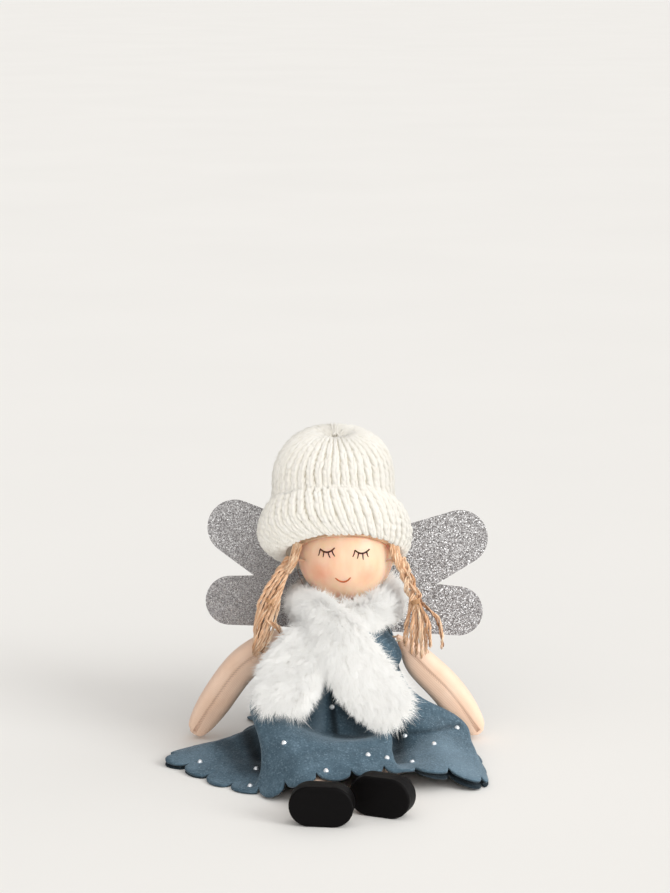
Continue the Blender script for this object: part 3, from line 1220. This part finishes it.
def stone_faces():
    """Facets between the levels, which are turned half a side in turn, and the table on top."""
    i = np.arange(stone_sides)
    j = (i + 1) % stone_sides
    last = len(stone_levels) - 1
    tris = []
    for k in range(last):
        low, high = k * stone_sides, (k + 1) * stone_sides
        if k % 2 == 0:
            tris += [(low + i, low + j, high + i), (high + i, low + j, high + j)]
        else:
            tris += [(low + i, high + j, high + i), (low + i, low + j, high + j)]
    top = last * stone_sides
    tris.append((top + i, top + j, np.full(stone_sides, top + stone_sides)))
    return np.concatenate([np.stack(t, -1) for t in tris])


def build_stones():
    tree = skin_tree(front_outer)
    tris = stone_faces()
    soup = Soup()
    for px, py in stone_px:
        hit, n = (np.array(found) for found in seen(tree, px, py))
        n = n if np.dot(n, eye - hit) > 0 else -n
        a = squared((1, 0, 0.2), n[None])[0]
        b = np.cross(n, a)
        points = []
        for k, (r, h) in enumerate(stone_levels):
            ang = (round_angles(stone_sides) + 0.5 * TURN / stone_sides * (k % 2))[:, None]
            points += [*(hit + stone_d * (n * h + r * (np.cos(ang) * a + np.sin(ang) * b)))]
        soup.add(points + [hit + stone_d * n * stone_levels[-1][1]], tris=tris)
    soup.build("rhinestones_cut", stone_glass, "doll", ["rhinestones"], smooth=False)


build_stones()

# Furry scarf
strip_inset = 2.4
pile_inset = 2.6
tuft_strands = 26
neck_back = 9
# stretches of the pile: from and to along the scarf, number of strands, their length, and a seed
piles = [
    ("right_tail", -0.1, 5.2, 24000, 6.6, 71), ("collar_back", 5.2, 9.4, 14000, 6.2, 72),
    ("collar_front", 9.4, 13.4, 20000, 6.6, 74), ("left_tail", 13.4, 18.1, 24000, 7.0, 73)
]
toward_light = np.array([0.22, -0.45, 0.66])


def scarf_rings(u, inset):
    """Middles of the scarf, headings, outward and sideways directions, and half sizes less the inset."""
    centre = spline(scarf_path, u)
    centre, t, n, b = carried(scarf_path, u, unit(centre * [1, 1, 0]))
    return centre, t, n, b, np.maximum(spline(scarf_girth, u) / 2 - inset, 1.2)


def comb(u, root, normal, toward_end):
    """How the pile lies at its roots, and how long it is there."""
    tail = clamp(np.where(u < neck_back, (5.5 - u) / 3, (u - 12.5) / 3))[:, None]
    tips = clamp(np.where(u < neck_back, 1.2 - u, u - 16.8))[:, None]
    lay = toward_end * (0.12 + 0.38 * tail) + np.array([0, 0, -0.36])
    # beside the doll's left cheek it stands up and outward
    # under the chin it is short and lies away from the face
    up = np.array([0, 0, head_z]) - root
    high = (clamp((root[:, 0] - 10) / 6) * clamp((root[:, 2] - 60) / 6))[:, None]
    chin = clamp(1 - (np.linalg.norm(up, axis=1) - head_r) / 7)[:, None] * (1 - high)
    lay = lay - unit(up) * 0.9 * chin + np.array([0.3, -0.1, 0.9]) * high
    # the tail at the doll's left is brushed down and outward, so its inner edge stays short
    inner_edge = clamp((u - 15.2) / 1.5)[:, None] * clamp(-normal[:, :1] * 1.4)
    return lay, (1 + 0.5 * tips) * (1 - 0.5 * chin + 0.5 * high) * (1 - 0.6 * inner_edge)


def pile_roots(r, u_from, u_to, count):
    """Places along the scarf and angles round it: evenly over its skin, and fewer toward the neck."""
    u = r.uniform(u_from, u_to, count * 3)
    a = r.uniform(0, TURN, count * 3)
    g = scarf_rings(u, pile_inset)[4]
    stretch = np.linalg.norm(spline(scarf_path, u + 0.02) - spline(scarf_path, u - 0.02), axis=1)
    around = np.hypot(g[:, 0] * np.cos(a), g[:, 1] * np.sin(a))
    weight = stretch * around * np.where(np.cos(a) < -0.55, 0.35, 1.0)
    keep = r.uniform(0, weight.max() * 0.8, len(u)) < weight
    return u[keep][:count], a[keep][:count]


def nearest(points, chosen):
    """Which of the chosen points is nearest to each point."""
    tree = KDTree(len(chosen))
    for k, c in enumerate(chosen):
        tree.insert(Vector(points[c]), k)
    tree.balance()
    return np.array([tree.find(Vector(p))[1] for p in points])


def strand_faces(m):
    """Faces of strands that have two rings of three points and a tip."""
    base = np.arange(m)[:, None] * 7
    i = np.arange(3)
    j = (i + 1) % 3
    quads = np.stack([base + i, base + j, base + 3 + j, base + 3 + i], -1).reshape(-1, 4)
    return quads, stacked(base + 3 + i, base + 3 + j, base + 6).reshape(-1, 3)


def fur_patch(name, u_from, u_to, count, length, seed):
    """Pile of a stretch of the scarf: curved strands in loose tufts, thick at the root, fine at the tip."""
    r = np.random.default_rng(seed)
    u, a = pile_roots(r, u_from, u_to, count)
    m = len(u)
    centre, t, n, b, g = scarf_rings(u, pile_inset)
    cos, sin, wide, deep = np.cos(a)[:, None], np.sin(a)[:, None], g[:, :1], g[:, 1:]
    root = centre + n * deep * cos + b * wide * sin
    normal = unit(n * cos / deep + b * sin / wide)
    lay, share = comb(u, root, normal, np.where(u < neck_back, -1.0, 1.0)[:, None] * t)
    # each strand goes with the nearest of the chosen ones, which lead the tufts
    size = m // tuft_strands + 1
    chosen = r.choice(m, size, replace=False)
    tuft = nearest(root, chosen)
    tuft_way = r.normal(0, 0.24, (size, 3))[tuft]
    tuft_len = r.uniform(0.75, 1.25, size)[tuft][:, None]
    reach = length * tuft_len * r.uniform(0.65, 1.15, m)[:, None] * share
    stray = (r.uniform(0, 1, m) < 0.1)[:, None]
    way = unit(normal + lay + tuft_way + r.normal(0, 0.26, (m, 3)) + stray * r.normal(0, 0.5, (m, 3)))
    end = root + way * reach * np.where(stray, 1.15, 1.0)
    tuft_end = root[chosen] + unit(normal[chosen] + lay[chosen] + r.normal(0, 0.3, (size, 3))) * length * 1.05
    end = end + (tuft_end[tuft] - end) * np.where(stray, 0.0, 0.2)
    bend = root + normal * reach * 0.42 + (end - root) * 0.12
    paths = np.stack([root, 0.25 * root + 0.5 * bend + 0.25 * end, end], 1)
    axis = unit(np.gradient(paths, axis=1))
    across = squared((0.37, 0.61, 0.7), axis)
    ang = round_angles(3)[:, None]
    ring = np.cos(ang) * across[:, :2, None] + np.sin(ang) * np.cross(axis, across)[:, :2, None]
    thick = r.uniform(0.1, 0.17, m)[:, None] * np.array([1.0, 0.8])
    body = paths[:, :2, None] + thick[:, :, None, None] * ring
    points = np.concatenate([body.reshape(m, 6, 3), paths[:, 2:]], 1)
    shade = np.array([0.0] * 3 + [0.6] * 3 + [1.0])
    tone = clamp(shade + r.normal(0, 0.12, (m, 1)) + r.normal(0, 0.06, (size, 1))[tuft])
    # light goes round in the pile, so its normals are turned part of the way toward the light
    facing = unit(normal[:, None] * 0.36 + 0.12 * np.concatenate([ring.reshape(m, 6, 3), axis[:, 2:]], 1)
                  + toward_light + r.normal(0, 0.13, (size, 1, 3))[tuft])
    soup = Soup()
    soup.add(points, *strand_faces(m), tone, normals=facing)
    pile = soup.build(name, white_fur, "doll", ["scarf"], turned=True)
    # strands this fine let the light through, so they cast no shadow of their own
    pile.visible_shadow = False


def build_scarf():
    u = np.linspace(0, len(scarf_path) - 1, 150)
    centre, _, n, b, g = scarf_rings(u, strip_inset)
    ang = round_angles(40)
    lump = 1 + 0.06 * ripple(ang * 3, u[:, None] * 4, 14)
    points = (centre[:, None] + n[:, None] * (np.cos(ang) * g[:, 1:] * lump)[..., None]
              + b[:, None] * (np.sin(ang) * g[:, :1] * lump)[..., None])
    soup = Soup()
    soup.loft(points, 0.2)
    strip = soup.build("scarf_strip", white_fur, "doll", ["scarf"])
    for name, *stretch in piles:
        fur_patch(f"scarf_pile_{name}", *stretch)


build_scarf()


# Glitter flakes on the wings' board
def build_glitter():
    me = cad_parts["wings"].data
    me.calc_loop_triangles()
    co = np.array([v.co for v in me.vertices], float) / MM
    a, b, c = np.moveaxis(co[[t.vertices[:] for t in me.loop_triangles]], 1, 0)
    cross = np.cross(b - a, c - a)
    normal = unit(cross)
    front = np.array([0, -math.cos(wing_lean), math.sin(wing_lean)])
    weight = np.linalg.norm(cross, axis=1) * (np.abs(normal @ front) > 0.9)
    r = np.random.default_rng(17)
    count, sides, lift = 12000, 6, 0.1
    pick = r.choice(len(a), count, p=weight / weight.sum())
    s, t = r.uniform(0, 1, (2, count))
    over = s + t > 1
    s[over], t[over] = 1 - s[over], 1 - t[over]
    at = a[pick] + (b - a)[pick] * s[:, None] + (c - a)[pick] * t[:, None] + normal[pick] * lift
    n = unit(normal[pick] + r.normal(0, 0.22, (count, 3)))
    x = squared((1, 0.1, 0.2), n)
    size = r.uniform(0.09, 0.16, count)[:, None, None]
    ang = round_angles(sides)[:, None]
    points = at[:, None] + size * (np.cos(ang) * x[:, None] + np.sin(ang) * np.cross(n, x)[:, None])
    idx = np.arange(count * sides).reshape(count, sides)
    quads = np.concatenate([idx[:, [0, 1, 2, 3]], idx[:, [0, 3, 4, 5]]])
    soup = Soup()
    soup.add(points, quads, tone=np.repeat(r.uniform(0, 1, count) ** 1.5, sides))
    soup.build("wing_glitter", glitter_flake, "doll", smooth=False)


build_glitter()

# Finishes of the kept solids
dowel_wood = plain_stuff("dowel_wood", (186, 148, 104), (216, 182, 138), 300, stretch=(1, 1, 0.1))
base_board = plain_stuff("base_board", (196, 184, 162), (222, 212, 192), 500)
staple_wire = plain_stuff("wire", (196, 150, 118), (226, 182, 150), 900, (0.4, 0.6))
shoe_wood = black_wood()
kept = {"head": painted_head(), "wings": wing_board(), "neck_dowel": dowel_wood, "seat_disc": base_board}
for side in ("left", "right"):
    kept[f"{side}_shoe"] = shoe_wood
    kept[f"{side}_braid_staple"] = staple_wire
    kept[f"{side}_shoulder_tack"] = kept[f"{side}_hip_tack"] = sewing_thread
for name, material in kept.items():
    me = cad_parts[name].data
    me.materials.clear()
    me.materials.append(material)


# Floor and light
def build_stage():
    """One wide pale floor that fills the picture."""
    f = Finish("floor", Specular_IOR_Level=0.0)
    mottle = f.noise(3, 3)
    colour = f.ramp(mottle, (0.3, (239, 237, 233)), (0.7, (241, 239, 235)))
    half_m, cells = 24.0, 12
    line = np.linspace(-half_m, half_m, cells + 1)
    points = stacked(line, line[:, None], 0.0).reshape(-1, 3)
    me = bpy.data.meshes.new("floor")
    me.from_pydata(points.tolist(), [], grid_faces(cells + 1, cells + 1).tolist())
    me.materials.append(f.done(colour, f.span(mottle, 0.3, 0.7, 0.9, 1.0)))
    ob = bpy.data.objects.new("floor", me)
    bpy.context.scene.collection.objects.link(ob)


def sun(name, toward, spread, strength, colour):
    """A wide soft light from far off, from the direction given."""
    data = bpy.data.lights.new(name, "SUN")
    data.angle = math.radians(spread)
    data.energy = strength
    data.color = colour
    ob = bpy.data.objects.new(name, data)
    ob.rotation_mode = "QUATERNION"
    ob.rotation_quaternion = Vector(toward).to_track_quat("Z", "Y")
    bpy.context.scene.collection.objects.link(ob)


def build_sky():
    """Light of the room, brighter on the key's side and in front."""
    level, slope = 0.828, (0.6, -0.46)
    world = bpy.data.worlds.new("studio")
    bpy.context.scene.world = world
    world.use_nodes = True
    nodes, links = world.node_tree.nodes, world.node_tree.links
    air = nodes["Background"]
    air.inputs["Color"].default_value = (0.975, 0.963, 0.957, 1.0)
    way = nodes.new("ShaderNodeTexCoord")
    side = nodes.new("ShaderNodeVectorMath")
    side.operation = "DOT_PRODUCT"
    side.inputs[1].default_value = (level * slope[0], level * slope[1], 0.0)
    total = nodes.new("ShaderNodeMath")
    total.inputs[1].default_value = level
    links.new(way.outputs["Generated"], side.inputs[0])
    links.new(side.outputs["Value"], total.inputs[0])
    links.new(total.outputs[0], air.inputs["Strength"])


build_stage()
sun("key", (0.78, -0.46, 0.43), spread=28, strength=1.36, colour=(0.965, 0.985, 0.985))
sun("front_fill", (0.2, -0.95, 0.05), spread=70, strength=0.4, colour=(1.0, 0.985, 0.965))
build_sky()
bpy.context.scene.view_settings.view_transform = "Standard"
